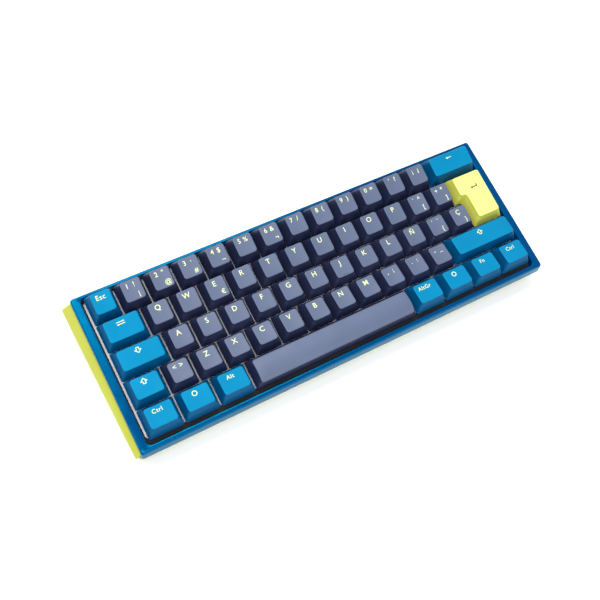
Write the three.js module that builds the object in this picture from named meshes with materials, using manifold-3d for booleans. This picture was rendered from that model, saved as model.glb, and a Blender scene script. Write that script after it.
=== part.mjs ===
// A 60 percent mechanical keyboard with an ISO layout of 62 keys, in millimetres.
// X runs to the right, Y to the back and Z up. The origin is on the desk, under the middle of the case.
// The keys, plate and circuit board lie in the key field, a group that is tilted towards the typist.
import * as THREE from "three";
import { ConvexGeometry } from "three/addons/geometries/ConvexGeometry.js";
import { mergeVertices } from "three/addons/utils/BufferGeometryUtils.js";
import Module from "manifold-3d";

const wasm = await Module();
wasm.setup();

// ---------- driving dimensions ----------
const UNIT = 19.05; // key pitch
const FIELD_WIDTH = 15 * UNIT;
const TRAVEL = 4; // how far a key goes down
const TILT = THREE.MathUtils.degToRad(5.5); // of the key field above the desk
const FIELD_AT = { y: 0.76, z: 24.5 }; // the field's centre, in the plane of the keycaps' lower rims
const GAP = 0.3; // between solids that touch on the real keyboard

// Heights in the key field, above the keycaps' lower rims.
const BEZEL_TOP = 1;
const SEAM = -4.3; // between the bezel and the case under it
const PLATE = { top: -6, bottom: -7.5, half: 146.4, front: -50, back: 47.4 };
const BOARD = { top: -11, bottom: -12.6 };
const HOUSING_TOP = 0.4;

// The case, half its width and its front and back edges.
const BEZEL = { half: 150, front: -55, lipFront: -53.6, back: 50.2, corner: 1.8 };
const OPENING = { half: 144.5, front: -50.4, back: 48, corner: 3 };
const SKIRT_BOTTOM = -14.6; // of the bezel's front
const CASE_FRONT = -52.4; // where the lower case ends behind the bezel's front skirt
const BOTTOM = { half: 151, front: -49.2, back: 51.8, corner: 3, z: 2 };
// The lower case is widest along a ridge on its sides, which comes in towards the front.
const RIDGE = { front: { half: 152.9, y: -53, z: -8.5 }, back: { half: 155, y: 51.2, z: -13.5 } };
const WALL = 2.2;
const FLOOR_TOP = BOTTOM.z + WALL;

// Parts that pass through or stand under the case.
const USB = { x: -75, z: 10, recessWidth: 14, recessHeight: 7, recessBack: 46.6 };
const LEG = { x: 118, y: 41, z: 4.6, half: 17, arm: 4, thick: 4, tall: 16, short: 11, pin: 1.4 };
const POCKET = { front: 24.4, back: 44.3, top: 7.2, wall: 3.4, roof: 2 };
const PADS = {
  front: { x: 124, y: -38, width: 34, depth: 9 },
  rear: { x: 118, y: 48, width: 34, depth: 4.4 },
};
const SCREWS = [[-60, -30], [60, -30], [-20, 36], [60, 36]];

// ---------- keycap profile of each row, from the number row to the bottom row ----------
// back and front are the heights of the top's two edges, and toBack and toFront are their distances from the
// key's middle.
const ROWS = [
  { y: 2 * UNIT, back: 11.2, front: 9.4, toBack: 6.8, toFront: 6.3 },
  { y: UNIT, back: 9.4, front: 8.2, toBack: 7.1, toFront: 6.2 },
  { y: 0, back: 8.2, front: 7.9, toBack: 7.0, toFront: 5.9 },
  { y: -UNIT, back: 7.8, front: 9.1, toBack: 7.2, toFront: 5.9 },
  { y: -2 * UNIT, back: 7.8, front: 9.1, toBack: 7.2, toFront: 5.9 },
];
const SPACE_ROW = { back: 8.3, front: 7.3, toBack: 7.2, toFront: 8 }; // its top rolls forwards
const CAP = { rim: 9.05, sideInset: 2.75, skin: 1.3, roof: 1.6 };
const CAP_MARGIN = UNIT / 2 - CAP.rim; // from the edge of a key's place to the cap's rim
const SLIDER = { width: 7, depth: 5.4, bottom: -5.2, post: 2.9 };
const STABILISER = { width: 4, depth: 5, bottom: -6.4, near: 11.9, far: 50 };

// ---------- shapes ----------
// A closed solid from a geometry, and back.
function solid(geometry) {
  const bare = geometry.index ? geometry.toNonIndexed() : geometry.clone();
  bare.deleteAttribute("normal");
  bare.deleteAttribute("uv");
  const merged = mergeVertices(bare, 1e-4);
  return new wasm.Manifold(new wasm.Mesh({
    numProp: 3,
    vertProperties: merged.attributes.position.array,
    triVerts: new Uint32Array(merged.index.array),
  }));
}

function geometryOf(made) {
  const mesh = made.getMesh();
  const geometry = new THREE.BufferGeometry();
  geometry.setAttribute("position", new THREE.BufferAttribute(new Float32Array(mesh.vertProperties), 3));
  geometry.setIndex(new THREE.BufferAttribute(new Uint32Array(mesh.triVerts), 1));
  const faceted = geometry.toNonIndexed();
  faceted.computeVertexNormals();
  return faceted;
}

const joined = (solids) => solids.reduce((all, one) => all.add(one));
const without = (body, tools) => tools.reduce((left, tool) => left.subtract(tool), body);

const hull = (points) => solid(new ConvexGeometry(points));

function box([x0, x1], [y0, y1], [z0, z1]) {
  const geometry = new THREE.BoxGeometry(x1 - x0, y1 - y0, z1 - z0);
  return solid(geometry.translate((x0 + x1) / 2, (y0 + y1) / 2, (z0 + z1) / 2));
}

// A round bar from point to point, with the given number of sides.
function bar(from, to, radius, sides = 12) {
  const along = new THREE.Vector3().subVectors(to, from);
  const geometry = new THREE.CylinderGeometry(radius, radius, along.length(), sides);
  const upright = new THREE.Vector3(0, 1, 0);
  const turn = new THREE.Quaternion().setFromUnitVectors(upright, along.clone().normalize());
  geometry.applyQuaternion(turn);
  return solid(geometry.translate(...from.clone().addScaledVector(along, 0.5).toArray()));
}

const at = (x, y, z) => new THREE.Vector3(x, y, z);

// The corners of a rectangle, at one height.
const rectangle = ([x0, x1], [y0, y1], z) => [at(x0, y0, z), at(x1, y0, z), at(x1, y1, z), at(x0, y1, z)];

// A rectangle with round corners, at one height.
function roundRectangle(halfWidth, front, back, radius, z, steps = 6) {
  const points = [];
  const corners = [[1, back, 0], [-1, back, 1], [-1, front, 2], [1, front, 3]];
  for (const [side, edge, quarter] of corners) {
    const centreX = side * (halfWidth - radius);
    const centreY = edge === back ? back - radius : front + radius;
    for (let i = 0; i <= steps; i++) {
      const angle = (quarter + i / steps) * Math.PI / 2;
      points.push(at(centreX + radius * Math.cos(angle), centreY + radius * Math.sin(angle), z));
    }
  }
  return points;
}

// ---------- the key field's place on the desk ----------
const fieldMatrix = new THREE.Matrix4().makeRotationX(TILT).setPosition(0, FIELD_AT.y, FIELD_AT.z);
const tilted = (points) => points.map((point) => point.clone().applyMatrix4(fieldMatrix));

function tiltedBox(xs, ys, zs) {
  return hull(tilted([...rectangle(xs, ys, zs[0]), ...rectangle(xs, ys, zs[1])]));
}

const FAR = 200; // past every side of the case

// ---------- case ----------
function bottomCase() {
  const seam = SEAM - GAP / 2;
  const edge = 1.2; // of the bevel round the underside
  const { half: bottomHalf, front, back, corner } = BOTTOM;
  const ridge = [-1, 1].flatMap((side) => Object.values(RIDGE).flatMap(({ half, y, z }) => [
    at(side * (half - edge), y + Math.sign(y) * 0.4, z),
    at(side * half, y - Math.sign(y) * 0.8, z + 0.5),
    at(side * half, y - Math.sign(y) * 0.8, z - 0.5),
  ]));
  const shell = hull([
    ...roundRectangle(bottomHalf - edge, front + edge, back - edge, corner - edge, BOTTOM.z),
    ...roundRectangle(bottomHalf, front, back, corner, BOTTOM.z + edge),
    ...tilted(ridge),
    ...tilted(roundRectangle(BEZEL.half, CASE_FRONT - 3, BEZEL.back, BEZEL.corner, seam)),
  ]);
  const cavity = hull([
    ...roundRectangle(bottomHalf - WALL, front + WALL, back - WALL, 3, FLOOR_TOP),
    ...tilted(roundRectangle(BEZEL.half - WALL, CASE_FRONT + 1.1, BEZEL.back - 1.7, 3, PLATE.bottom)),
    ...tilted(roundRectangle(BEZEL.half - WALL, CASE_FRONT + 1.1, BEZEL.back - 1.7, 3, seam + 3)),
  ]);
  const behindSkirt = tiltedBox([-FAR, FAR], [CASE_FRONT, FAR], [-60, 20]);
  const underBoard = tiltedBox([-FAR, FAR], [-FAR, FAR], [-60, BOARD.bottom - GAP]);

  const posts = SCREWS.map(([x, y]) => bar(at(x, y, BOTTOM.z + 1), at(x, y, 22), 4).intersect(underBoard));
  const heads = SCREWS.map(([x, y]) => bar(at(x, y, BOTTOM.z - 1), at(x, y, BOTTOM.z + 1.8), 2.9));

  const recessX = [USB.x - USB.recessWidth / 2, USB.x + USB.recessWidth / 2];
  const recessZ = [USB.z - USB.recessHeight / 2, USB.z + USB.recessHeight / 2];
  const recessBlock = box(
    [recessX[0] - 2, recessX[1] + 2],
    [USB.recessBack - 2, 54],
    [BOTTOM.z + 1, recessZ[1] + 2],
  );
  const recess = box(recessX, [USB.recessBack, 60], recessZ);
  const portHole = box([USB.x - 4.9, USB.x + 4.9], [USB.recessBack - 3, 50], [USB.z - 2.05, USB.z + 2.05]);

  const pockets = [];
  const pocketBlocks = [];
  for (const side of [-1, 1]) {
    const x = side * LEG.x;
    const half = LEG.half + 0.4;
    const wide = [x - half - POCKET.wall, x + half + POCKET.wall];
    const block = box(wide, [POCKET.front - 2, POCKET.back + 2], [BOTTOM.z + 1, POCKET.top + POCKET.roof]);
    pocketBlocks.push(block);
    pockets.push(
      box([x - half, x + half], [POCKET.front, POCKET.back], [BOTTOM.z - 1, POCKET.top]),
      box([x - 7, x + 7], [POCKET.front - 4, POCKET.front + 1], [BOTTOM.z - 1, BOTTOM.z + 1.6]),
      bar(at(x - half - 2.4, LEG.y, LEG.z), at(x + half + 2.4, LEG.y, LEG.z), LEG.pin + GAP),
    );
  }

  const padSeats = padPlaces().map(({ x, y, width, depth }) => box(
    [x - width / 2 - GAP, x + width / 2 + GAP],
    [y - depth / 2 - GAP, y + depth / 2 + GAP],
    [BOTTOM.z - 1, BOTTOM.z + 1],
  ));

  const blocks = joined([...pocketBlocks, recessBlock]).intersect(shell);
  const walls = shell.intersect(behindSkirt).subtract(cavity);
  return without(joined([walls, blocks, ...posts]), [recess, portHole, ...pockets, ...padSeats, ...heads]);
}

function topBezel() {
  const { half, front, lipFront, back, corner } = BEZEL;
  const outside = hull(tilted([
    ...roundRectangle(half - 0.9, OPENING.front - 1.6, back - 0.7, corner - 0.9, BEZEL_TOP),
    ...roundRectangle(half, lipFront, back, corner, BEZEL_TOP - 0.9),
    ...roundRectangle(half, front, back, corner, -6),
    ...roundRectangle(half, front + 1.2, back, corner, SKIRT_BOTTOM),
  ]));
  const ring = outside.intersect(tiltedBox([-FAR, FAR], [-FAR, FAR], [SEAM + GAP / 2, 20]));
  const skirt = outside.intersect(tiltedBox([-FAR, FAR], [-FAR, CASE_FRONT - GAP], [SKIRT_BOTTOM, 20]));
  const lipAt = (z) => roundRectangle(OPENING.half + 1.4, OPENING.front - 0.8, OPENING.back + 0.2, 4, z);
  const lip = hull(tilted([...lipAt(SEAM + 1), ...lipAt(PLATE.top + GAP)]));
  const opening = hull(tilted([
    ...roundRectangle(OPENING.half, OPENING.front, OPENING.back, OPENING.corner, BEZEL_TOP + 2),
    ...roundRectangle(OPENING.half, OPENING.front, OPENING.back, OPENING.corner, PLATE.top - 2),
  ]));
  return joined([ring, skirt, lip]).subtract(opening);
}

// ---------- feet ----------
function padPlaces() {
  const places = [];
  for (const [end, pad] of Object.entries(PADS)) {
    for (const [side, sign] of [["left", -1], ["right", 1]]) {
      places.push({ ...pad, name: `rubber_pad_${end}_${side}`, x: sign * pad.x });
    }
  }
  return places;
}

const rubberPad = ({ width, depth }) => hull([
  ...roundRectangle(width / 2 - 0.4, -depth / 2 + 0.4, depth / 2 - 0.4, 1.4, 0, 2),
  ...roundRectangle(width / 2, -depth / 2, depth / 2, 1.8, 0.4, 2),
  ...roundRectangle(width / 2, -depth / 2, depth / 2, 1.8, BOTTOM.z + 1 - GAP, 2),
]);

// The flip legs turn about one pin line. The tall one is a frame round the short one. Both are drawn folded,
// about their own pin line, and point to the front.
const legEye = (x0, x1) => bar(at(x0, 0, 0), at(x1, 0, 0), LEG.thick / 2, 16);
const halfThick = [-LEG.thick / 2, LEG.thick / 2];

function tallLeg() {
  const inner = LEG.half - LEG.arm;
  const arms = [-1, 1].map((side) => {
    const xs = side < 0 ? [-LEG.half, -inner] : [inner, LEG.half];
    return box(xs, [-LEG.tall, 0], halfThick).add(legEye(...xs));
  });
  const foot = box([-LEG.half, LEG.half], [-LEG.tall, -LEG.tall + 3.6], halfThick);
  const pins = [-1, 1].map((side) => bar(
    at(side * (LEG.half - 1), 0, 0),
    at(side * (LEG.half + 2), 0, 0),
    LEG.pin,
  ));
  const shortLegSockets = [-1, 1].map((side) => bar(
    at(side * (inner - 1), 0, 0),
    at(side * (inner + 2.2), 0, 0),
    LEG.pin + GAP,
  ));
  return without(joined([...arms, foot, ...pins]), shortLegSockets);
}

function shortLeg() {
  const half = LEG.half - LEG.arm - 0.4;
  const blade = box([-half, half], [-LEG.short, 0], halfThick).add(legEye(-half, half));
  const hollow = box([-half + 3, half - 3], [-LEG.short + 3, -3.4], [-LEG.thick / 2 - 1, 0.6]);
  const pin = bar(at(-half - 2, 0, 0), at(half + 2, 0, 0), LEG.pin);
  return blade.subtract(hollow).add(pin);
}

// ---------- connector ----------
function usbPort() {
  const shell = box([-4.5, 4.5], [-7.6, 0], [-1.65, 1.65]);
  const mouth = box([-4.2, 4.2], [-6.2, 1], [-1.3, 1.3]);
  const tongue = box([-3.3, 3.3], [-7, -0.6], [-0.35, 0.35]);
  const smallBoard = box([-9, 9], [-15, -3], [-2.9, -1.6]);
  return joined([shell.subtract(mouth), tongue, smallBoard]);
}

// ---------- keys ----------
// Each key: its name, its row, where it starts and ends in key units from the left, and its keycap's colour.
const GREY = "grey";
const BLUE = "blue";
const YELLOW = "yellow";

function keyList() {
  const keys = [];
  const add = (name, row, start, end, colour, stabiliser = 0) => {
    keys.push({ name, row, start, end, colour, stabiliser });
  };
  const run = (names, row, start) => names.forEach((name, i) => {
    add(name, row, start + i, start + i + 1, GREY);
  });

  add("esc", 0, 0, 1, BLUE);
  run(["1", "2", "3", "4", "5", "6", "7", "8", "9", "0", "apostrophe", "inverted_exclamation"], 0, 1);
  add("backspace", 0, 13, 15, BLUE, STABILISER.near);

  add("tab", 1, 0, 1.5, BLUE);
  run(["q", "w", "e", "r", "t", "y", "u", "i", "o", "p", "grave", "plus"], 1, 1.5);

  add("caps_lock", 2, 0, 1.75, BLUE);
  run(["a", "s", "d", "f", "g", "h", "j", "k", "l", "n_tilde", "acute", "c_cedilla"], 2, 1.75);
  add("enter", 2, 13.75, 15, YELLOW, STABILISER.near);

  add("left_shift", 3, 0, 1.25, BLUE);
  run(["less_than", "z", "x", "c", "v", "b", "n", "m", "comma", "period", "hyphen"], 3, 1.25);
  add("right_shift", 3, 12.25, 15, BLUE, STABILISER.near);

  ["left_ctrl", "left_os", "left_alt"].forEach((name, i) => add(name, 4, 1.25 * i, 1.25 * (i + 1), BLUE));
  add("space", 4, 3.75, 10, GREY, STABILISER.far);
  ["alt_gr", "right_os", "fn", "right_ctrl"].forEach((name, i) => {
    add(name, 4, 10 + 1.25 * i, 11.25 + 1.25 * i, BLUE);
  });
  return keys;
}

// A group holds at most 60 nodes, so these neighbours share a node, joined by a small web under their rims.
const PAIRS = [
  ["1", "2"], ["3", "4"], ["5", "6"], ["7", "8"], ["9", "0"], ["apostrophe", "inverted_exclamation"],
  ["q", "w"], ["e", "r"], ["t", "y"], ["u", "i"], ["o", "p"], ["grave", "plus"],
  ["acute", "c_cedilla"], ["m", "comma"], ["period", "hyphen"],
];

const ENTER_UPPER_START = 13.5; // the upper half of the enter key is a quarter unit wider
const keyCentreX = (key) => (key.start + key.end) / 2 * UNIT - FIELD_WIDTH / 2;
const switchY = (key) => (key.name === "enter" ? UNIT / 2 : ROWS[key.row].y);
const keyHalfWidth = (key) => (key.end - key.start) * UNIT / 2 - CAP_MARGIN;

// Where a key's stabiliser stems are, from its switch. The enter key's stand one behind the other.
function stabiliserOffsets(key) {
  if (!key.stabiliser) return [];
  const along = key.name === "enter" ? [0, 1] : [1, 0];
  return [-1, 1].map((side) => along.map((part) => part * side * key.stabiliser));
}

// One keycap wall-to-wall body: a tapered block on the rectangle x0..x1, y0..y1, with its top's own slope.
function taper(xs, ys, insets, heights, bottom = 0) {
  const tops = [
    at(xs[0] + insets.side, ys[0] + insets.front, heights.front),
    at(xs[1] - insets.side, ys[0] + insets.front, heights.front),
    at(xs[1] - insets.side, ys[1] - insets.back, heights.back),
    at(xs[0] + insets.side, ys[1] - insets.back, heights.back),
  ];
  return hull([...rectangle(xs, ys, bottom), ...tops]);
}

// The outer and the inner block of a cap whose rim is the given rectangle.
function capBlocks(xs, ys, row) {
  const insets = { side: CAP.sideInset, front: CAP.rim - row.toFront, back: CAP.rim - row.toBack };
  const outer = taper(xs, ys, insets, row);
  const innerXs = [xs[0] + CAP.skin, xs[1] - CAP.skin];
  const innerYs = [ys[0] + CAP.skin, ys[1] - CAP.skin];
  const innerTop = { front: row.front - CAP.roof, back: row.back - CAP.roof };
  return { outer, inner: taper(innerXs, innerYs, insets, innerTop, -1) };
}

function keyCap(key) {
  const half = keyHalfWidth(key);
  const blocks = [];
  if (key.name === "enter") {
    // Its two halves take the two rows' rims and meet in one top of even height.
    const top = { ...ROWS[2], back: 9.2, front: 8 };
    const upperTop = { ...top, front: 8.7 };
    const upperLeft = ENTER_UPPER_START * UNIT + CAP_MARGIN - FIELD_WIDTH / 2 - keyCentreX(key);
    blocks.push(capBlocks([-half, half], [-UNIT / 2 - CAP.rim, UNIT / 2 + CAP.rim], top));
    blocks.push(capBlocks([upperLeft, half], [UNIT / 2 - CAP.rim, UNIT / 2 + CAP.rim], upperTop));
  } else {
    const profile = key.name === "space" ? SPACE_ROW : ROWS[key.row];
    blocks.push(capBlocks([-half, half], [-CAP.rim, CAP.rim], profile));
  }
  const outside = joined(blocks.map((block) => block.outer));
  const shell = without(outside, blocks.map((block) => block.inner));

  // The stems go up into the cap's roof, and no further.
  const { width, depth, bottom, post } = SLIDER;
  const slider = box([-width / 2, width / 2], [-depth / 2, depth / 2], [bottom, -0.2]);
  const stems = stabiliserOffsets(key).map(([x, y]) => box(
    [x - STABILISER.width / 2, x + STABILISER.width / 2],
    [y - STABILISER.depth / 2, y + STABILISER.depth / 2],
    [STABILISER.bottom, 20],
  ));
  stems.push(bar(at(0, 0, -0.4), at(0, 0, 20), post, 8));
  const room = outside.add(box([-FAR, FAR], [-FAR, FAR], [-20, 0.1]));
  return joined([shell, slider, ...stems.map((stem) => stem.intersect(room))]);
}

// ---------- plate and circuit board with its switch housings ----------
function switchPlate(keys) {
  const sheet = hull([
    ...roundRectangle(PLATE.half, PLATE.front, PLATE.back, 2, PLATE.bottom, 2),
    ...roundRectangle(PLATE.half, PLATE.front, PLATE.back, 2, PLATE.top, 2),
  ]);
  const through = [PLATE.bottom - 1, PLATE.top + 1];
  const hole = (x, y, halfWidth, halfDepth) => box(
    [x - halfWidth, x + halfWidth],
    [y - halfDepth, y + halfDepth],
    through,
  );
  const holes = [];
  for (const key of keys) {
    const x = keyCentreX(key);
    const y = switchY(key);
    holes.push(hole(x, y, 7.2, 7.2));
    for (const [dx, dy] of stabiliserOffsets(key)) holes.push(hole(x + dx, y + dy, 3.7, 4.7));
  }
  return without(sheet, holes);
}

function switchHousing(x, y) {
  const lower = box([x - 6.9, x + 6.9], [y - 6.9, y + 6.9], [BOARD.top - 0.2, PLATE.top + 0.6]);
  const upper = hull([
    ...rectangle([x - 7.7, x + 7.7], [y - 7.7, y + 7.7], PLATE.top + GAP),
    ...rectangle([x - 5.6, x + 5.6], [y - 5.1, y + 5.1], HOUSING_TOP),
  ]);
  const bore = box(
    [x - SLIDER.width / 2 - GAP, x + SLIDER.width / 2 + GAP],
    [y - SLIDER.depth / 2 - GAP, y + SLIDER.depth / 2 + GAP],
    [SLIDER.bottom - TRAVEL - 0.4, HOUSING_TOP + 1],
  );
  return lower.add(upper).subtract(bore);
}

function stabiliserHousing(x, y) {
  const block = box([x - 3.4, x + 3.4], [y - 4.4, y + 4.4], [BOARD.top - 0.2, PLATE.top + 2.6]);
  const bore = box(
    [x - STABILISER.width / 2 - GAP, x + STABILISER.width / 2 + GAP],
    [y - STABILISER.depth / 2 - GAP, y + STABILISER.depth / 2 + GAP],
    [STABILISER.bottom - TRAVEL - 0.4, 0],
  );
  return block.subtract(bore);
}

function circuitBoard(keys) {
  const halfBoard = FIELD_WIDTH / 2 - 1.4;
  const board = box([-halfBoard, halfBoard], [-46.8, 46.8], [BOARD.bottom, BOARD.top]);
  const onBoard = [];
  for (const key of keys) {
    const x = keyCentreX(key);
    const y = switchY(key);
    onBoard.push(switchHousing(x, y));
    for (const [dx, dy] of stabiliserOffsets(key)) onBoard.push(stabiliserHousing(x + dx, y + dy));
  }
  return joined([board, ...onBoard]);
}

// ---------- materials ----------
const plastic = (color, roughness) => new THREE.MeshStandardMaterial({ color, roughness, metalness: 0 });
const MATERIALS = {
  bezel: plastic(0x0c76b4, 0.35),
  lowerCase: plastic(0xccd152, 0.45),
  plate: new THREE.MeshStandardMaterial({ color: 0xe8e9ec, roughness: 0.4, metalness: 0.3 }),
  board: plastic(0x14161a, 0.6),
  rubber: plastic(0x1a1a1c, 0.9),
  leg: plastic(0xccd152, 0.5),
  port: new THREE.MeshStandardMaterial({ color: 0xb9bcc0, roughness: 0.3, metalness: 0.9 }),
  [GREY]: plastic(0x7f8aad, 0.55),
  [BLUE]: plastic(0x069fdc, 0.55),
  [YELLOW]: plastic(0xf0ee84, 0.55),
};

// ---------- assembly ----------
const keyboard = new THREE.Group();
const field = new THREE.Group();
field.position.set(0, FIELD_AT.y, FIELD_AT.z);
field.rotation.x = TILT;
keyboard.add(field);

function addPiece(parent, name, made, material, place = [0, 0, 0]) {
  const mesh = new THREE.Mesh(geometryOf(made), material);
  mesh.name = name;
  mesh.position.set(...place);
  parent.add(mesh);
}

const keys = keyList();
addPiece(keyboard, "bottom_case", bottomCase(), MATERIALS.lowerCase);
addPiece(keyboard, "top_bezel", topBezel(), MATERIALS.bezel);
addPiece(keyboard, "usb_port", usbPort(), MATERIALS.port, [USB.x, USB.recessBack, USB.z]);
for (const pad of padPlaces()) {
  addPiece(keyboard, pad.name, rubberPad(pad), MATERIALS.rubber, [pad.x, pad.y, 0]);
}
for (const [side, sign] of [["left", -1], ["right", 1]]) {
  const pinLine = [sign * LEG.x, LEG.y, LEG.z];
  addPiece(keyboard, `tall_leg_${side}`, tallLeg(), MATERIALS.leg, pinLine);
  addPiece(keyboard, `short_leg_${side}`, shortLeg(), MATERIALS.leg, pinLine);
}
addPiece(field, "switch_plate", switchPlate(keys), MATERIALS.plate);
addPiece(field, "circuit_board", circuitBoard(keys), MATERIALS.board);

const keyNamed = new Map(keys.map((key) => [key.name, key]));
const paired = new Set(PAIRS.flat());
for (const key of keys.filter(({ name }) => !paired.has(name))) {
  addPiece(field, `key_${key.name}`, keyCap(key), MATERIALS[key.colour], [keyCentreX(key), switchY(key), 0]);
}
for (const [leftName, rightName] of PAIRS) {
  const left = keyNamed.get(leftName);
  const right = keyNamed.get(rightName);
  const shift = keyCentreX(right) - keyCentreX(left);
  const rightCap = solid(geometryOf(keyCap(right)).translate(shift, 0, 0));
  const web = box([shift / 2 - 1.4, shift / 2 + 1.4], [-2, 2], [0.2, 1.2]);
  const both = joined([keyCap(left), rightCap, web]);
  const place = [keyCentreX(left), switchY(left), 0];
  addPiece(field, `keys_${leftName}_${rightName}`, both, MATERIALS[left.colour], place);
}

export default keyboard;
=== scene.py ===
"""The looks of a compact mechanical keyboard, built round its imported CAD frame. Lengths are in millimetres
in the pieces' own coordinates, and in metres once they are placed."""

import math
import bpy
from mathutils import Matrix, Vector


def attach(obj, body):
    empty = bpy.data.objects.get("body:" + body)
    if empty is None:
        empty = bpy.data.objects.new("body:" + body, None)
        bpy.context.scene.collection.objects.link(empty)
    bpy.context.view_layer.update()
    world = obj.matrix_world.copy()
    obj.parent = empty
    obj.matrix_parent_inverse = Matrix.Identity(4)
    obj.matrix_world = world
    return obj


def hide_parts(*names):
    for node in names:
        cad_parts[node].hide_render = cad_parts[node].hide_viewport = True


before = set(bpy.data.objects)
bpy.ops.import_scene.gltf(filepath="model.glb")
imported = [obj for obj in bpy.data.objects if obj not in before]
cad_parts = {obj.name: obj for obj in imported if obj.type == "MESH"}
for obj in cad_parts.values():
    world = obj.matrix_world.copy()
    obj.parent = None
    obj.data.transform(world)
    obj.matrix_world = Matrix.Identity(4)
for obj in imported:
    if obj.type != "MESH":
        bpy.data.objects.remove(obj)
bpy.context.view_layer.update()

MM = 0.001
UNIT = 19.05  # key pitch
FIELD_WIDTH = 15 * UNIT
TILT = math.radians(5.5)
FIELD_Y, FIELD_Z = 0.76 * MM, 24.5 * MM  # the key field's middle, at the keycaps' lower rims
# From millimetres in the key field, or over the desk, to the frame's metres.
FIELD = Matrix.Translation((0, FIELD_Y, FIELD_Z)) @ Matrix.Rotation(TILT, 4, "X") @ Matrix.Scale(MM, 4)
DESK = Matrix.Scale(MM, 4)


# ---------- camera, floor and light ----------
def set_camera():
    target, distance = Vector((-19.2, -6.8, 0)), 551.8
    azimuth, elevation, roll = math.radians(-58.13), math.radians(66.78), math.radians(32.19)
    flat = math.cos(elevation)
    back = Vector((math.sin(azimuth) * flat, -math.cos(azimuth) * flat, math.sin(elevation)))
    level = Vector((math.cos(azimuth), math.sin(azimuth), 0))
    rise = back.cross(level)
    right = math.cos(roll) * level + math.sin(roll) * rise
    up = math.cos(roll) * rise - math.sin(roll) * level
    eye = target + back * distance
    turn = Matrix.Rotation(TILT, 3, "X") @ Matrix((right, up, back)).transposed()
    data = bpy.data.cameras.new("camera")
    data.sensor_width = 36
    data.lens = 51.82
    data.clip_start = 0.01
    camera = bpy.data.objects.new("camera", data)
    camera.matrix_world = Matrix.Translation(FIELD @ eye) @ turn.to_4x4()
    bpy.context.scene.collection.objects.link(camera)
    bpy.context.scene.camera = camera


def add_area(name, place, target, size, power):
    data = bpy.data.lights.new(name, "AREA")
    data.shape = "RECTANGLE"
    data.size, data.size_y = size
    data.energy = power
    light = bpy.data.objects.new(name, data)
    aim = Vector(target) - Vector(place)
    light.matrix_world = Matrix.Translation(place) @ aim.to_track_quat("-Z", "Y").to_matrix().to_4x4()
    bpy.context.scene.collection.objects.link(light)


def set_stage():
    bpy.ops.mesh.primitive_plane_add(size=30, location=(0, 0, 0))
    floor = bpy.context.object
    floor.name = "floor"
    material, shader = new_material("floor", (0.95, 0.95, 0.95), 0.9)
    shader.inputs["Specular IOR Level"].default_value = 0.1
    floor.data.materials.append(material)

    add_area("soft_top", (-0.1, 0.62, 1.0), (-0.1, 0.6, 0), (0.9, 0.85), 11)
    add_area("soft_front", (-0.32, -0.35, 1.15), (0, 0, 0), (0.6, 0.6), 7)
    add_area("soft_back", (0.45, 1.5, 0.42), (0, 0, 0), (1.6, 0.4), 5)
    add_area("soft_low", (0.35, -1.3, 0.7), (0, 0, 0), (1.2, 0.5), 5)
    world = bpy.data.worlds.new("studio")
    world.use_nodes = True
    world.node_tree.nodes["Background"].inputs["Color"].default_value = (0.95, 0.97, 1.0, 1)
    world.node_tree.nodes["Background"].inputs["Strength"].default_value = 0.7
    bpy.context.scene.world = world
    bpy.context.scene.view_settings.view_transform = "Standard"


# ---------- materials ----------
def new_material(name, color, roughness, metallic=0.0):
    material = bpy.data.materials.new(name)
    material.use_nodes = True
    shader = material.node_tree.nodes["Principled BSDF"]
    shader.inputs["Base Color"].default_value = (*color, 1)
    shader.inputs["Roughness"].default_value = roughness
    shader.inputs["Metallic"].default_value = metallic
    return material, shader


class Nodes:
    """Adds and links the nodes of one material."""

    def __init__(self, material):
        self.tree = material.node_tree
        self.place = self.add("ShaderNodeTexCoord").outputs["Object"]

    def add(self, kind, **settings):
        node = self.tree.nodes.new(kind)
        for key, value in settings.items():
            setattr(node, key, value)
        return node

    def link(self, start, end):
        self.tree.links.new(start, end)

    def noise(self, scale, detail=2.0, stretch=None):
        node = self.add("ShaderNodeTexNoise")
        node.inputs["Scale"].default_value = scale
        node.inputs["Detail"].default_value = detail
        place = self.place
        if stretch:
            mapping = self.add("ShaderNodeMapping")
            mapping.inputs["Scale"].default_value = stretch
            self.link(place, mapping.inputs["Vector"])
            place = mapping.outputs["Vector"]
        self.link(place, node.inputs["Vector"])
        return node.outputs["Fac"]

    def remap(self, value, low, high, start=0.3, end=0.7):
        node = self.add("ShaderNodeMapRange")
        node.inputs["From Min"].default_value = start
        node.inputs["From Max"].default_value = end
        node.inputs["To Min"].default_value = low
        node.inputs["To Max"].default_value = high
        self.link(value, node.inputs["Value"])
        return node.outputs["Result"]

    def mix(self, factor, first, second):
        """A mix of two colours. Its node keeps the colour sockets at numbers 6 and 7."""
        node = self.add("ShaderNodeMix", data_type="RGBA")
        for value, socket in ((factor, node.inputs[0]), (first, node.inputs[6]), (second, node.inputs[7])):
            if isinstance(value, bpy.types.NodeSocket):
                self.link(value, socket)
            else:
                socket.default_value = value if isinstance(value, float) else (*value, 1)
        return node.outputs[2]


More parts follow.
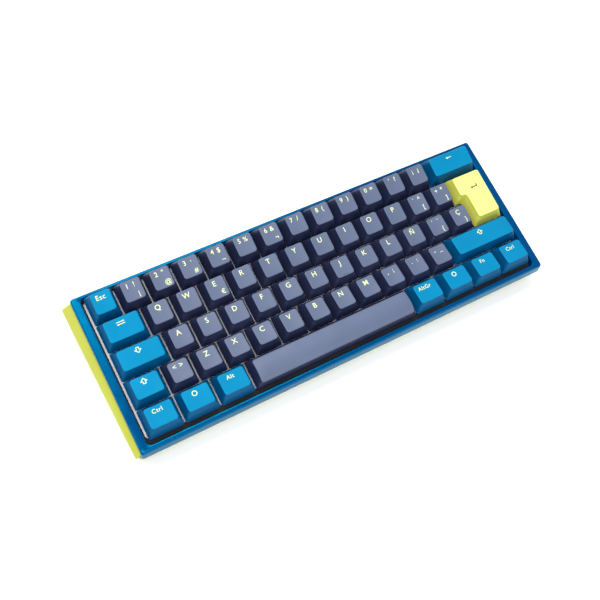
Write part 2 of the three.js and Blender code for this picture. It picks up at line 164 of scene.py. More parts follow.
def moulded(name, color, roughness, grain=3200, depth=0.012, vary=0.05, side=None, edge=0.12,
             specular=0.5, tint=(1, 1, 1), metallic=0.0):
    """Moulded plastic: a fine grain, slow changes of tone and gloss, and convex edges painted lighter as a
    painted highlight as strong as edge.
    side is a darker colour painted on a keycap's walls as painted shade, which the mesh's own 'top' attribute
    tells from its top."""
    material, shader = new_material(name, color, roughness, metallic)
    nodes = Nodes(material)
    tone = nodes.noise(38, 3)
    base = color
    # The walls get the darker side colour, painted shade, by the mesh's 'top' mask.
    if side:
        top = nodes.add("ShaderNodeAttribute", attribute_name="top").outputs["Fac"]
        base = nodes.mix(top, side, color)
    darker = nodes.add("ShaderNodeHueSaturation")
    darker.inputs["Value"].default_value = 1 - vary * 2
    darker.inputs["Color"].default_value = (*color, 1)
    if side:
        nodes.link(base, darker.inputs["Color"])
    toned = nodes.mix(nodes.remap(tone, 0.0, 1.0), darker.outputs["Color"], base)
    lighter = nodes.add("ShaderNodeHueSaturation")
    lighter.inputs["Value"].default_value = 1.35
    lighter.inputs["Saturation"].default_value = 0.9
    nodes.link(toned, lighter.inputs["Color"])
    # Convex edges, found by pointiness, are painted lighter: a painted highlight.
    painted_edge_highlight = nodes.remap(nodes.add("ShaderNodeNewGeometry").outputs["Pointiness"], 0.0, edge * 3, 0.52, 0.6)
    if side:
        # On keycaps the painted highlight stays on the walls and the rounded edge, off the top.
        rim_only = nodes.add("ShaderNodeMath", operation="MULTIPLY")
        nodes.link(painted_edge_highlight, rim_only.inputs[0])
        nodes.link(nodes.remap(top, 1.0, 0.0, 1.02, 1.1), rim_only.inputs[1])
        painted_edge_highlight = rim_only.outputs[0]
    nodes.link(nodes.mix(painted_edge_highlight, toned, lighter.outputs["Color"]), shader.inputs["Base Color"])
    gloss = nodes.remap(nodes.noise(120, 3), roughness - 0.05, roughness + 0.06)
    nodes.link(gloss, shader.inputs["Roughness"])
    bump = nodes.add("ShaderNodeBump")
    bump.inputs["Strength"].default_value = 0.6
    bump.inputs["Distance"].default_value = depth * MM
    nodes.link(nodes.noise(grain, 2), bump.inputs["Height"])
    nodes.link(bump.outputs["Normal"], shader.inputs["Normal"])
    shader.inputs["Specular IOR Level"].default_value = specular
    shader.inputs["Specular Tint"].default_value = (*tint, 1)
    return material


def metal(name, color, roughness, stretch=(1, 40, 1)):
    material, shader = new_material(name, color, roughness, 1.0)
    nodes = Nodes(material)
    brushed = nodes.remap(nodes.noise(300, 3, stretch), roughness - 0.08, roughness + 0.1)
    nodes.link(brushed, shader.inputs["Roughness"])
    tint = tuple(c * 0.85 for c in color)
    nodes.link(nodes.mix(nodes.remap(nodes.noise(90, 3), 0.0, 1.0), tint, color), shader.inputs["Base Color"])
    return material


MATERIALS = {
    # Each side colour is darker than its top: painted shade on the keycaps' walls.
    "grey": moulded("keycap_grey", (0.084, 0.112, 0.192), 0.5, side=(0.012, 0.017, 0.055)),
    "blue": moulded("keycap_blue", (0.0, 0.19, 0.375), 0.5, side=(0.0, 0.07, 0.19), tint=(0.1, 0.7, 1)),
    "yellow": moulded("keycap_yellow", (0.74, 0.75, 0.22), 0.5, side=(0.56, 0.58, 0.09), tint=(1, 1, 0.5)),
    "legend": moulded("legend", (0.70, 0.76, 0.38), 0.5, vary=0.01),
    "dark_legend": moulded("legend_dark", (0.04, 0.045, 0.05), 0.5, vary=0.01),
    "slider": moulded("switch_slider", (0.5, 0.03, 0.02), 0.35),
    "bezel": moulded("bezel", (0.0, 0.034, 0.185), 0.22, grain=2600, depth=0.003, vary=0.03, edge=0.03,
                     specular=1.0, tint=(0.0, 0.95, 0.75), metallic=0.3),
    "lower": moulded("lower_case", (0.46, 0.49, 0.04), 0.42, grain=2400, depth=0.02, vary=0.03,
                     tint=(1, 1, 0.5)),
    "plate": moulded("plate", (0.86, 0.86, 0.88), 0.38, grain=2200, depth=0.03, vary=0.03),
    "board": moulded("board", (0.018, 0.02, 0.024), 0.45),
    # Near-black for the strips put where there is only shade: painted shade.
    "painted_shade": moulded("painted_shade", (0.012, 0.013, 0.02), 0.85, grain=1500, depth=0.06),
    "rubber": moulded("rubber", (0.02, 0.02, 0.022), 0.8, grain=1600, depth=0.04),
    "steel": metal("steel", (0.62, 0.63, 0.65), 0.3),
    "screw": metal("screw_steel", (0.22, 0.22, 0.24), 0.35, (1, 1, 1)),
    "tongue": moulded("port_tongue", (0.02, 0.02, 0.022), 0.4),
    "gold": metal("contacts", (0.85, 0.6, 0.25), 0.25),
}


# ---------- meshes ----------
def add_object(name, body, parts, matrix, sharp=32, replaces=()):
    """One object from parts, each (vertices, faces, material, tops). tops is 0 on a keycap's walls, 1 on the
    rounded edge of its top and 1.2 inside that edge; by it the keycap materials paint the walls darker, as
    painted shade."""
    vertices, faces, indices, tops, materials = [], [], [], [], []
    for verts, polys, material, marks in parts:
        if material not in materials:
            materials.append(material)
        start = len(vertices)
        vertices += [matrix @ Vector(v) for v in verts]
        faces += [[start + i for i in poly] for poly in polys]
        indices += [materials.index(material)] * len(polys)
        tops += marks if marks else [1.0] * len(verts)
    mesh = bpy.data.meshes.new(name)
    mesh.from_pydata(vertices, [], faces)
    for material in materials:
        mesh.materials.append(MATERIALS[material])
    mesh.polygons.foreach_set("material_index", indices)
    mesh.attributes.new("top", "FLOAT", "POINT").data.foreach_set("value", tops)
    mesh.polygons.foreach_set("use_smooth", [True] * len(faces))
    mesh.set_sharp_from_angle(angle=math.radians(sharp))
    mesh.validate()
    thing = bpy.data.objects.new(name, mesh)
    bpy.context.scene.collection.objects.link(thing)
    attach(thing, body)
    if replaces:
        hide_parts(*replaces)


def line_meeting(p, d, q, e):
    """Where the line through p along d meets the line through q along e."""
    t = ((q[0] - p[0]) * e[1] - (q[1] - p[1]) * e[0]) / (d[0] * e[1] - d[1] * e[0])
    return (p[0] + d[0] * t, p[1] + d[1] * t)


def outline(corners, insets, radii, splits, steps=5):
    """The points of a polygon with square corners, anticlockwise, each edge moved in by its own inset and
    each corner rounded. splits gives the shares at which points divide each edge. Every call with the same
    counts gives rings that match."""
    count = len(corners)
    edges = []
    for i in range(count):
        (ax, ay), (bx, by) = corners[i], corners[(i + 1) % count]
        length = math.hypot(bx - ax, by - ay)
        along = ((bx - ax) / length, (by - ay) / length)
        start = (ax - along[1] * insets[i], ay + along[0] * insets[i])
        edges.append((start, along))
    moved = [line_meeting(*edges[i - 1], *edges[i]) for i in range(count)]
    ring = []
    for i in range(count):
        before, after = edges[i - 1][1], edges[i][1]
        radius = radii[i]
        cx = moved[i][0] + radius * (after[0] - before[0])
        cy = moved[i][1] + radius * (after[1] - before[1])
        for k in range(steps + 1):
            angle = math.pi / 2 * k / steps
            ring.append((
                cx - radius * after[0] * math.cos(angle) + radius * before[0] * math.sin(angle),
                cy - radius * after[1] * math.cos(angle) + radius * before[1] * math.sin(angle),
            ))
        nxt = (i + 1) % count
        start = (moved[i][0] + radius * after[0], moved[i][1] + radius * after[1])
        end = (moved[nxt][0] - radii[nxt] * after[0], moved[nxt][1] - radii[nxt] * after[1])
        for share in splits[i]:
            ring.append((start[0] + (end[0] - start[0]) * share, start[1] + (end[1] - start[1]) * share))
    return ring


def loft(rings, close=False, start_cap=False, end_cap=False):
    """Faces between rings of 3-D points, all of one length."""
    size = len(rings[0])
    vertices = [point for ring in rings for point in ring]
    faces = []
    last = len(rings) if close else len(rings) - 1
    for r in range(last):
        a, b = r * size, (r + 1) % len(rings) * size
        for i in range(size):
            j = (i + 1) % size
            faces.append((a + i, a + j, b + j, b + i))
    if start_cap:
        faces.append(tuple(reversed(range(size))))
    if end_cap:
        faces.append(tuple(range((len(rings) - 1) * size, len(rings) * size)))
    return vertices, faces


def even(count):
    return [(i + 1) / (count + 1) for i in range(count)]


def rect(x0, x1, y0, y1):
    return [(x0, y0), (x1, y0), (x1, y1), (x0, y1)]


def rounded_bar(x0, x1, y0, y1, z0, z1, radius=0.4, soft=0.15):
    """An upright block with round corners and soft edges."""
    corners = rect(x0, x1, y0, y1)
    splits = [[], [], [], []]
    rings = []
    for inset, z in ((soft, z0), (0, z0 + soft), (0, z1 - soft), (soft, z1)):
        flat = outline(corners, [inset] * 4, [max(radius - inset, 0.02)] * 4, splits, 3)
        rings.append([(x, y, z) for x, y in flat])
    return loft(rings, start_cap=True, end_cap=True)


# ---------- key layout ----------
# Keycap profile of each row, from the number row to the bottom row: the heights of the top's back and front
# edges, and how far from the middle they lie.
ROWS = [
    {"y": 2 * UNIT, "back": 11.2, "front": 9.4, "to_back": 6.8, "to_front": 6.3},
    {"y": UNIT, "back": 9.4, "front": 8.2, "to_back": 7.1, "to_front": 6.2},
    {"y": 0, "back": 8.2, "front": 7.9, "to_back": 7.0, "to_front": 5.9},
    {"y": -UNIT, "back": 7.8, "front": 9.1, "to_back": 7.2, "to_front": 5.9},
    {"y": -2 * UNIT, "back": 7.8, "front": 9.1, "to_back": 7.2, "to_front": 5.9},
]
MARGIN = 0.475  # from the edge of a key's place to its cap's rim, left and right
DEEP = 9.4  # half the depth of a keycap's rim
SIDE_INSET = 2.75
PAIRED = "1 2,3 4,5 6,7 8,9 0,apostrophe inverted_exclamation,q w,e r,t y,u i,o p,grave plus,"
PAIRED += "acute c_cedilla,m comma,period hyphen"
BODIES = {}
for pair in PAIRED.split(","):
    first, second = pair.split()
    BODIES[first] = BODIES[second] = f"keys_{first}_{second}"

NUMBER_ROW = [
    ("1", "1", "!", "|"), ("2", "2", '"', "@"), ("3", "3", "·", "#"), ("4", "4", "$", "~"),
    ("5", "5", "%", ""), ("6", "6", "&", "¬"), ("7", "7", "/", ""), ("8", "8", "(", ""),
    ("9", "9", ")", ""), ("0", "0", "=", ""), ("apostrophe", "'", "?", ""),
    ("inverted_exclamation", "¡", "¿", ""),
]
OTHERS = {
    "grave": ("`", "^", "["), "plus": ("+", "*", "]"), "acute": ("´", "¨", "{"),
    "c_cedilla": ("", "Ç", "}"), "less_than": ("<", ">", ""), "comma": (",", ";", ""),
    "period": (".", ":", ""), "hyphen": ("-", "_", ""), "n_tilde": ("", "Ñ", ""),
}


def key_list():
    """Each key: name, row, start and end in units, colour, and its legends as (kind, text, x, y, height)."""
    keys = []

    def pair_legends(row, first, second, third):
        high = ROWS[row]["to_back"] - 3.4
        found = [("text", first, -2.5, high, 3.0), ("text", second, 1.9, high, 3.0)]
        if third:
            found.append(("text", third, 2.9, high - 6.4, 2.9))
        return [legend for legend in found if legend[1]]

    def add(name, row, start, end, color, legends):
        keys.append({
            "name": name, "row": row, "start": start, "end": end, "color": color, "legends": legends,
        })

    def letters(names, row, start):
        for i, name in enumerate(names.split()):
            high = ROWS[row]["to_back"] - 3.6
            if name in OTHERS:
                first, second, third = OTHERS[name]
                if first:
                    legends = pair_legends(row, first, second, third)
                else:
                    legends = [("text", second, -0.5, high, 3.3)]
                if not first and third:
                    legends.append(("text", third, 3.0, high - 6.3, 2.9))
            else:
                legends = [("text", name.upper(), -0.5, high, 3.3)]
                if name == "e":
                    legends.append(("text", "€", 3.0, high - 6.4, 2.9))
            add(name, row, start + i, start + i + 1, "grey", legends)

    def word(row, text, x=-1.0):
        return [("text", text, x, ROWS[row]["to_back"] - 3.3, 2.6)]

    def sign(row, kind, x=-0.6):
        return [(kind, "", x, ROWS[row]["to_back"] - 3.6, 3.6)]

    add("esc", 0, 0, 1, "blue", [("text", "Esc", -0.3, ROWS[0]["to_back"] - 3.4, 3.0)])
    for i, (name, first, second, third) in enumerate(NUMBER_ROW):
        add(name, 0, 1 + i, 2 + i, "grey", pair_legends(0, first, second, third))
    add("backspace", 0, 13, 15, "blue", sign(0, "back_arrow", -0.4))
    add("tab", 1, 0, 1.5, "blue", sign(1, "tab_arrows"))
    letters("q w e r t y u i o p grave plus", 1, 1.5)
    add("caps_lock", 2, 0, 1.75, "blue", sign(2, "down_arrow"))
    letters("a s d f g h j k l n_tilde acute c_cedilla", 2, 1.75)
    add("enter", 2, 13.75, 15, "yellow", [("enter_arrow", "", -1.0, 6.5, 4.6)])
    add("left_shift", 3, 0, 1.25, "blue", sign(3, "up_arrow"))
    letters("less_than z x c v b n m comma period hyphen", 3, 1.25)
    add("right_shift", 3, 12.25, 15, "blue", sign(3, "up_arrow"))
    add("left_ctrl", 4, 0, 1.25, "blue", word(4, "Ctrl"))
    add("left_os", 4, 1.25, 2.5, "blue", sign(4, "ring", -0.8))
    add("left_alt", 4, 2.5, 3.75, "blue", word(4, "Alt"))
    add("space", 4, 3.75, 10, "grey", [])
    add("alt_gr", 4, 10, 11.25, "blue", word(4, "AltGr"))
    add("right_os", 4, 11.25, 12.5, "blue", sign(4, "ring", -0.8))
    add("fn", 4, 12.5, 13.75, "blue", word(4, "Fn"))
    add("right_ctrl", 4, 13.75, 15, "blue", word(4, "Ctrl"))
    return keys


# ---------- legends ----------
CAPITAL = 0.69  # the height of a capital letter in Blender's typeface at size 1
glyphs = {}


def text_shape(text):
    """Vertices and faces of a text, scaled so that a capital letter is 1 high, with its middle at x 0."""
    if text not in glyphs:
        curve = bpy.data.curves.new("legend_text", "FONT")
        curve.body = text
        curve.offset = 0.009
        curve.space_character = 1.1
        curve.resolution_u = 3
        thing = bpy.data.objects.new("legend_text", curve)
        bpy.context.scene.collection.objects.link(thing)
        bpy.context.view_layer.update()
        mesh = bpy.data.meshes.new_from_object(thing.evaluated_get(bpy.context.evaluated_depsgraph_get()))
        points = [(v.co.x, v.co.y) for v in mesh.vertices]
        faces = [tuple(p.vertices) for p in mesh.polygons]
        bpy.data.objects.remove(thing)
        bpy.data.curves.remove(curve)
        bpy.data.meshes.remove(mesh)
        low, high = min(p[0] for p in points), max(p[0] for p in points)
        glyphs[text] = ([((x - (low + high) / 2) / CAPITAL, y / CAPITAL - 0.5) for x, y in points], faces)
    return glyphs[text]


def stroke(points, width, closed=False):
    """A flat line of one width through points, as (points, faces)."""
    count = len(points)
    left, right = [], []
    for i, (x, y) in enumerate(points):
        before = points[i - 1] if closed or i > 0 else points[i]
        after = points[(i + 1) % count] if closed or i < count - 1 else points[i]
        a = Vector((x - before[0], y - before[1]))
        b = Vector((after[0] - x, after[1] - y))
        a = a.normalized() if a.length else b.normalized()
        b = b.normalized() if b.length else a
        normal = Vector((-(a.y + b.y), a.x + b.x)).normalized()
        reach = width / 2 / max(normal.dot(Vector((-a.y, a.x))), 0.4)
        left.append((x + normal.x * reach, y + normal.y * reach))
        right.append((x - normal.x * reach, y - normal.y * reach))
    faces = []
    for i in range(count if closed else count - 1):
        j = (i + 1) % count
        faces.append((count + i, count + j, j, i))
    return left + right, faces


def sign_shape(kind):
    """A drawn legend, about 1 high."""
    if kind in ("up_arrow", "down_arrow"):
        flip = 1 if kind == "up_arrow" else -1
        arrow = [(0, 0.5), (0.52, 0), (0.22, 0), (0.22, -0.42), (-0.22, -0.42), (-0.22, 0), (-0.52, 0)]
        return stroke([(x * flip, y * flip) for x, y in arrow], 0.13, True)
    if kind == "ring":
        angles = [i * math.pi / 12 for i in range(24)]
        return stroke([(0.4 * math.cos(a), 0.4 * math.sin(a)) for a in angles], 0.15, True)
    shapes = []
    if kind == "tab_arrows":
        for flip in (1, -1):
            shapes.append(stroke([(-0.72 * flip, 0.2 * flip), (0.4 * flip, 0.2 * flip)], 0.12))
            head = [(0.4, 0.36), (0.4, 0.04), (0.75, 0.2)]
            shapes.append(([(x * flip, y * flip) for x, y in head], [(2, 1, 0)]))
    if kind == "back_arrow":
        shapes.append(stroke([(-0.2, 0), (0.62, 0)], 0.12))
        shapes.append(([(-0.2, 0.22), (-0.2, -0.22), (-0.65, 0)], [(0, 2, 1)]))
    if kind == "enter_arrow":
        shapes.append(stroke([(-0.2, -0.12), (0.6, -0.12), (0.6, 0.28)], 0.15))
        shapes.append(([(-0.2, 0.06), (-0.2, -0.3), (-0.6, -0.12)], [(0, 2, 1)]))
    points, faces = [], []
    for some, polys in shapes:
        start = len(points)
        points += some
        faces += [tuple(start + i for i in poly) for poly in polys]
    return points, faces


# ---------- keycaps ----------
def key_shape(key):
    """What a key's meshes need: its corners, insets and middle, and the height of its top at any point."""
    row = ROWS[key["row"]]
    half = (key["end"] - key["start"]) * UNIT / 2 - MARGIN
    if key["name"] == "enter":
        left = 13.5 * UNIT + MARGIN - FIELD_WIDTH / 2 - key_x(key)
        reach = UNIT / 2 + DEEP
        corners = [
            (-half, -reach), (half, -reach), (half, reach), (left, reach), (left, MARGIN), (-half, MARGIN),
        ]
        notch_inset = 2.6
        insets = [
            DEEP - row["to_front"], SIDE_INSET, DEEP - row["to_back"], SIDE_INSET, notch_inset, SIDE_INSET,
        ]
        y0, y1 = -reach + insets[0], reach - insets[2]
        front, back = 8.0, 9.2
        middle = (1.2, 8.0)
    elif key["name"] == "space":
        corners = rect(-half, half, -DEEP, DEEP)
        y0, y1 = -8.0, 7.2
        insets = [DEEP + y0, SIDE_INSET, DEEP - y1, SIDE_INSET]
        front = back = 9.3
        middle = (0, -0.4)
    else:
        corners = rect(-half, half, -DEEP, DEEP)
        insets = [DEEP - row["to_front"], SIDE_INSET, DEEP - row["to_back"], SIDE_INSET]
        y0, y1 = -row["to_front"], row["to_back"]
        front, back = row["front"], row["back"]
        middle = (0, (y0 + y1) / 2)
    across = half - SIDE_INSET

    def height(x, y):
        plane = front + (back - front) * (y - y0) / (y1 - y0)
        if key["name"] == "space":
            side = max(min((y - middle[1]) / ((y1 - y0) / 2), 1.15), -1.15)
            return plane - 1.5 * side ** 2 - (1.1 * side ** 4 if side < 0 else 0)
        if key["name"] == "enter":
            return plane - 0.25 * (1 - min(abs(x / (across + 2)), 1) ** 2)
        depth = 0.5 if across < 8 else 3.4 / across
        return plane - depth * (1 - min(abs(x / across), 1) ** 2)

    return corners, insets, middle, height


def key_x(key):
    return (key["start"] + key["end"]) / 2 * UNIT - FIELD_WIDTH / 2


def key_y(key):
    return UNIT / 2 if key["name"] == "enter" else ROWS[key["row"]]["y"]


def cap_parts(key):
    corners, insets, middle, height = key_shape(key)
    long_edge = 18 if key["name"] == "space" else 8
    splits = [even(long_edge if abs(corners[i][1] - corners[(i + 1) % len(corners)][1]) < 0.01 else 4)
              for i in range(len(corners))]
    fillet, wall = 0.75, 1.25
    rings, marks = [], []

    def ring(share, more, radius, z_of):
        flat = outline(corners, [inset * share + more for inset in insets], [radius] * len(corners), splits)
        rings.append([(x, y, z_of(x, y)) for x, y in flat])

    # Inside, from the ceiling down to the rim.
    ring(0.86, wall, 0.8, lambda x, y: height(x, y) - 1.7)
    ring(0.78, wall, 0.8, lambda x, y: height(x, y) - 2.2)
    ring(0.0, wall, 0.5, lambda x, y: 0.25)
    ring(0.0, wall - 0.2, 0.6, lambda x, y: 0.0)
    inner_count = len(rings)
    # Outside, from the rim up the walls, which bulge a little, over the rounded edge and onto the top.
    ring(0.0, 0.15, 0.9, lambda x, y: 0.0)
    ring(0.0, 0.0, 1.0, lambda x, y: 0.2)
    for share in (0.2, 0.4, 0.6, 0.8, 0.94):
        bulge = -0.16 * math.sin(math.pi * share)
        ring(share, bulge, 1.0 + 0.9 * share, lambda x, y, s=share: 0.2 + (height(x, y) - fillet - 0.2) * s)
    for step in range(5):
        angle = math.pi / 2 * step / 4
        inward = fillet * (1 - math.cos(angle)) * 0.9
        drop = fillet * (1 - math.sin(angle))
        ring(1.0, inward - 0.12, 1.9 - 0.12 * step, lambda x, y, d=drop: height(x, y) - d)
        edge = rings[-1]
    outer_top = len(rings) - 1
    for scale in (0.9, 0.7, 0.45, 0.2):
        mx, my = middle
        points = [(mx + (x - mx) * scale, my + (y - my) * scale) for x, y, _ in edge]
        rings.append([(x, y, height(x, y)) for x, y in points])
    vertices, faces = loft(rings)
    size = len(rings[0])
    end = (len(rings) - 1) * size
    vertices.append((*middle, height(*middle)))
    faces += [(end + i, end + (i + 1) % size, len(vertices) - 1) for i in range(size)]
    # The 'top' mask: 0 on the walls, where the keycap materials paint shade, rising over the rounded edge to
    # 1, and 1.2 on the top.
    for r in range(len(rings)):
        marks += [min(max((r - outer_top + 3.0) / 2.0, 0.0), 1.0) if r <= outer_top else 1.2] * size
    marks.append(1.2)
    vertices.append((*middle, height(*middle) - 1.7))
    marks.append(0.0)
    faces += [((i + 1) % size, i, len(vertices) - 1) for i in range(size)]
    ceiling_middle = len(vertices) - 1
    inner = [f for f in faces if max(f) < inner_count * size or ceiling_middle in f]
    hidden = set(inner)
    outer = [f for f in faces if f not in hidden]
    # The inner faces share no vertices with the outer ones, so that all of them get the walls' darker colour,
    # which is painted shade.
    parts = [
        (vertices, outer, key["color"], marks),
        (vertices, inner, key["color"], [0.0] * len(vertices)),
    ]
    return tidy_parts(parts), height


def tidy_parts(parts):
    """Drops each part's unused vertices."""
    tidy = []
    for vertices, faces, material, marks in parts:
        used = sorted({i for face in faces for i in face})
        place = {old: new for new, old in enumerate(used)}
        tidy.append((
            [vertices[i] for i in used],
            [tuple(place[i] for i in face) for face in faces],
            material,
            [marks[i] for i in used],
        ))
    return tidy


def legend_parts(key, height):
    """The legends, just above the cap's top so that its facets don't cut them, and the F and J keys' bars."""
    parts = []
    material = "dark_legend" if key["color"] == "yellow" else "legend"
    above = 0.1 if key["name"] == "enter" else 0.035
    for kind, text, x0, y0, size in key["legends"]:
        points, faces = text_shape(text) if kind == "text" else sign_shape(kind)
        placed = [(x0 + x * size, y0 + y * size) for x, y in points]
        parts.append(([(x, y, height(x, y) + above) for x, y in placed], faces, material, None))
    if key["name"] in ("f", "j"):
        bump = rounded_bar(-1.9, 1.9, -5.0, -4.4, 0, 0.45, 0.28, 0.2)
        lifted = [(x, y, z + height(x, y) - 0.12) for x, y, z in bump[0]]
        parts.append((lifted, bump[1], key["color"], None))
    return parts


# How far a wide key's two stabiliser stems stand from its middle.
STEM_REACH = {"space": 50, "backspace": 11.9, "right_shift": 11.9, "enter": 11.9}


def stem_parts(key, height):
    """The round socket under the cap, the switch's slider with its cross, which goes up into it, and a wide
    key's stabiliser stems."""
    parts = []
    top = height(0, 0) - 1.6

    def circle(radius, z):
        angles = [i * math.pi / 12 for i in range(24)]
        return [(radius * math.cos(a), radius * math.sin(a), z) for a in angles]

    profile = ((2.75, top), (2.75, 0.0), (2.55, -0.2), (2.2, -0.2), (2.2, 1.0))
    verts, faces = loft([circle(radius, z) for radius, z in profile])
    parts.append(flipped(verts, faces, key["color"]))
    for block in (
        rounded_bar(-3.4, 3.4, -2.6, 2.6, -5.1, -0.45, 0.5),
        rounded_bar(-2.0, 2.0, -0.6, 0.6, -0.6, 3.4, 0.1),
        rounded_bar(-0.55, 0.55, -2.0, 2.0, -0.6, 3.4, 0.1),
    ):
        parts.append((block[0], block[1], "slider", None))
    reach = STEM_REACH.get(key["name"])
    for side in (-1, 1) if reach else ():
        x, y = (0, side * reach) if key["name"] == "enter" else (side * reach, 0)
        block = rounded_bar(x - 1.9, x + 1.9, y - 2.4, y + 2.4, -6.3, height(x, y) - 1.5, 0.5)
        parts.append((block[0], block[1], key["color"], [0.0] * len(block[0])))
    return parts


def flipped(vertices, faces, material):
    # Marks of 0, so keycap materials give these faces the darker wall colour, which is painted shade.
    return vertices, [tuple(reversed(face)) for face in faces], material, [0.0] * len(vertices)


def build_keys():
    for key in key_list():
        body = BODIES.get(key["name"], f"key_{key['name']}")
        place = FIELD @ Matrix.Translation((key_x(key), key_y(key), 0))
        shell, height = cap_parts(key)
        parts = shell + legend_parts(key, height) + stem_parts(key, height)
        add_object(f"cap_{key['name']}", body, parts, place, replaces=[body])


# ---------- case ----------
SKIRT = -52.7  # the bezel's front skirt lies in front of this
SEAM = -3.6  # the bezel's lower edge
BEZEL_HALF, BEZEL_BACK = 150.0, 50.2
OPENING_HALF, OPENING_FRONT, OPENING_BACK = 144.5, -50.4, 48.0


def case_ring(half, front, back, front_radius, back_radius, side_z, front_z):
    """A ring round the case. The points in front of SKIRT can lie at another height than the rest."""
    along, deep, steps = 24, 12, 8  # points on a long edge and on a short one, and steps in a corner
    start, end = front + front_radius, back - back_radius
    first = max(SKIRT - start, 0.01) / (end - start)
    shares = [first] + [first + 0.0002 + (1 - first) * i / deep for i in range(deep)]
    splits = [even(along), shares, even(along), [1 - share for share in reversed(shares)]]
    radii = [front_radius] * 2 + [back_radius] * 2
    flat = outline(rect(-half, half, front, back), [0] * 4, radii, splits, steps)
    front_count = 2 * (steps + 1) + along + 1
    ring = []
    for i, (x, y) in enumerate(flat):
        z = front_z if i < front_count or i == len(flat) - 1 else side_z
        ring.append(tuple(FIELD @ Vector((x, y, z))))
    return ring


def build_bezel():
    def ring(half, front, back, side_z, front_z, front_radius=1.5, back_radius=1.8):
        return case_ring(half, front, back, front_radius, back_radius, side_z, front_z)

    def open_ring(grow, front_grow, z, radius=3.0):
        back = OPENING_BACK + min(grow, 0.4)
        return case_ring(OPENING_HALF + grow, OPENING_FRONT - front_grow, back, radius, radius, z, z)

    rings = [
        ring(147.6, -52.75, 48.9, SEAM, SEAM, 0.02),
        ring(147.6, -52.75, 48.9, SEAM, -14.4, 0.02),
        ring(149.7, -53.0, 49.9, SEAM, -14.6, 0.25, 1.5),
        ring(BEZEL_HALF, -53.3, BEZEL_BACK, SEAM + 0.3, -14.3, 0.5),
        ring(BEZEL_HALF, -54.92, BEZEL_BACK, -2.6, -6.6),
        ring(BEZEL_HALF, -55.0, BEZEL_BACK, -2.2, -6.0),
        ring(BEZEL_HALF, -54.92, BEZEL_BACK, -1.8, -5.4),
        ring(BEZEL_HALF, -53.7, BEZEL_BACK, -0.1, -0.4),
        ring(149.93, -53.45, 50.13, 0.35, 0.2),
        ring(149.7, -53.1, 49.9, 0.75, 0.6),
        ring(149.3, -52.6, 49.5, 0.97, 0.9),
        ring(148.9, -52.0, 49.2, 1.0, 1.0),
        open_ring(0.5, 0.5, 1.0, 3.3),
        open_ring(0.15, 0.15, 0.86, 3.1),
        open_ring(0.0, 0.0, 0.5),
        open_ring(0.0, 0.0, -5.7),
        open_ring(1.4, 0.8, -5.7, 4.0),
        open_ring(1.4, 0.8, SEAM, 4.0),
    ]
    verts, faces = loft(rings, close=True)
    parts = [(verts, faces, "bezel", None)]
    add_object("bezel_shell", "case", parts, Matrix(), 28, ["top_bezel"])


def build_shade_strips():
    """A near-black strip on the plate, all round the inside of the opening, standing for the shade in the gap
    there, and a near-black strip in the seam for its shadow: both painted shade.
    """
    rings = []
    for grow, z in ((-0.05, -5.95), (-0.05, -4.5), (-0.4, -4.2), (-1.1, -4.2), (-1.4, -4.5), (-1.4, -5.95)):
        deeper = 3.3 if grow < -1 else 0
        front, back = OPENING_FRONT - grow + deeper, OPENING_BACK + grow * 0.45
        rings.append(case_ring(OPENING_HALF + grow, front, back, 2.6, 2.6, z, z))
    verts, faces = loft(rings, close=True)
    add_object("plate_shade_strip", "case", [flipped(verts, faces, "painted_shade")], Matrix(), 40)
    rings = []
    outer, inner = (149.9, -52.2, 50.1), (148.6, -51.8, 49.1)
    for edges, z in ((outer, -4.4), (outer, -3.75), (inner, -3.75), (inner, -4.4)):
        rings.append(case_ring(*edges, 1.2, 1.6, z, z))
    verts, faces = loft(rings, close=True)
    add_object("seam_shade_strip", "case", [flipped(verts, faces, "painted_shade")], Matrix(), 40)


SCREWS = ((-60, -30), (60, -30), (-20, 36), (60, 36))


def build_screws():
    """Hexagon socket screws in the recesses of the underside."""
    def circle(radius, z, sides=0):
        points = []
        for i in range(24):
            angle = i * math.pi / 12
            reach = radius
            if sides:
                sector = math.pi / sides
                reach = radius / math.cos((angle + sector) % (2 * sector) - sector)
            points.append((reach * math.cos(angle), reach * math.sin(angle), z))
        return points

    for number, (x, y) in enumerate(SCREWS, 1):
        rings = [circle(2.45, 3.75), circle(2.45, 2.9), circle(2.2, 2.6), circle(1.45, 2.55)]
        rings += [circle(1.25, 2.62, 6), circle(1.2, 3.4, 6)]
        verts, faces = loft(rings, end_cap=True)
        place = DESK @ Matrix.Translation((x, y, 0))
        add_object(f"screw_{number}", "case", [flipped(verts, faces, "screw")], place, 30)


LEG_X, LEG_Y, LEG_Z = 118, 41, 4.6  # the middle of the right legs' hinge line


def build_leg_tips():
    """Rubber strips on the ends of the flip legs. tip is the end's distance from the hinge line."""
    for side, x in (("left", -LEG_X), ("right", LEG_X)):
        for kind, half, tip in (("tall", 15.2, -15.95), ("short", 10.8, -10.95)):
            body = f"{kind}_leg_{side}"
            strip = rounded_bar(-half, half, -1.35, 1.35, -0.3, 0.32, 0.6, 0.2)
            turned = [(a, tip - c, b) for a, b, c in strip[0]]
            place = DESK @ Matrix.Translation((x, LEG_Y, LEG_Z))
            add_object(f"{body}_tip", body, [(turned, strip[1], "rubber", None)], place, 40)


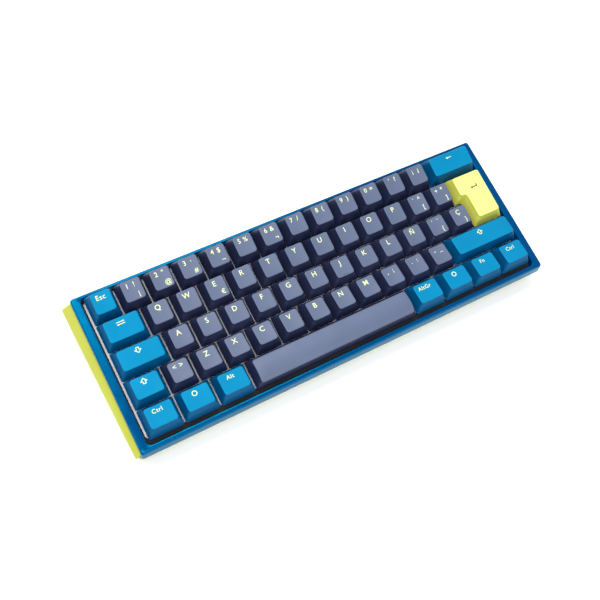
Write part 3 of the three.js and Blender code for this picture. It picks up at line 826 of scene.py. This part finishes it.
def build_port():
    """The socket's rolled steel shell, with its tongue and contacts."""
    x0, z0, back = -75, 10, 46.4  # the middle of the socket, and its mouth

    def ring(half_wide, half_high, y):
        corners = rect(-half_wide, half_wide, -half_high, half_high)
        flat = outline(corners, [0] * 4, [half_high * 0.96] * 4, [[], [], [], []], 5)
        return [(x0 + u, y, z0 + v) for u, v in flat]

    shell = [ring(4.1, 1.25, 40.5), ring(4.1, 1.25, back - 0.25), ring(4.22, 1.37, back)]
    shell += [ring(4.36, 1.5, back), ring(4.47, 1.62, back - 0.2), ring(4.47, 1.62, 40.2)]
    verts, faces = loft(shell, start_cap=True, end_cap=True)
    parts = [flipped(verts, faces, "steel")]
    tongue = rounded_bar(x0 - 3.3, x0 + 3.3, 40.4, back - 0.9, z0 - 0.35, z0 + 0.35, 0.3, 0.1)
    parts.append((tongue[0], tongue[1], "tongue", None))
    for i in range(12):
        x = x0 - 2.75 + i * 0.5
        for z in (z0 - 0.38, z0 + 0.36):
            contact = rounded_bar(x - 0.13, x + 0.13, 42.5, back - 1.3, z, z + 0.02, 0.03, 0.005)
            parts.append((contact[0], contact[1], "gold", None))
    add_object("port_shell", "case", parts, DESK, 30, ["usb_port"])


def build_all():
    build_bezel()
    build_shade_strips()
    build_screws()
    build_port()
    build_leg_tips()
    build_keys()


MATERIAL_OF_NODE = {"bottom_case": "lower", "switch_plate": "plate", "circuit_board": "board"}


def dress_nodes():
    """Better materials and softened edges on the CAD nodes that are still shown."""
    for name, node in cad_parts.items():
        if node.hide_render:
            continue
        kind = MATERIAL_OF_NODE.get(name, "rubber" if name.startswith("rubber") else "lower")
        for material_slot in node.material_slots:
            material_slot.material = MATERIALS[kind]
        weld = node.modifiers.new("weld", "WELD")
        weld.merge_threshold = 0.002 * MM
        flat = node.modifiers.new("flat_faces", "DECIMATE")
        flat.decimate_type = "DISSOLVE"
        flat.angle_limit = math.radians(1)
        soft = node.modifiers.new("soft_edges", "BEVEL")
        soft.width = 0.35 * MM if name == "bottom_case" else 0.25 * MM
        soft.segments = 2
        soft.limit_method = "ANGLE"
        soft.angle_limit = math.radians(35)
        soft.harden_normals = True


set_camera()
set_stage()
build_all()
dress_nodes()
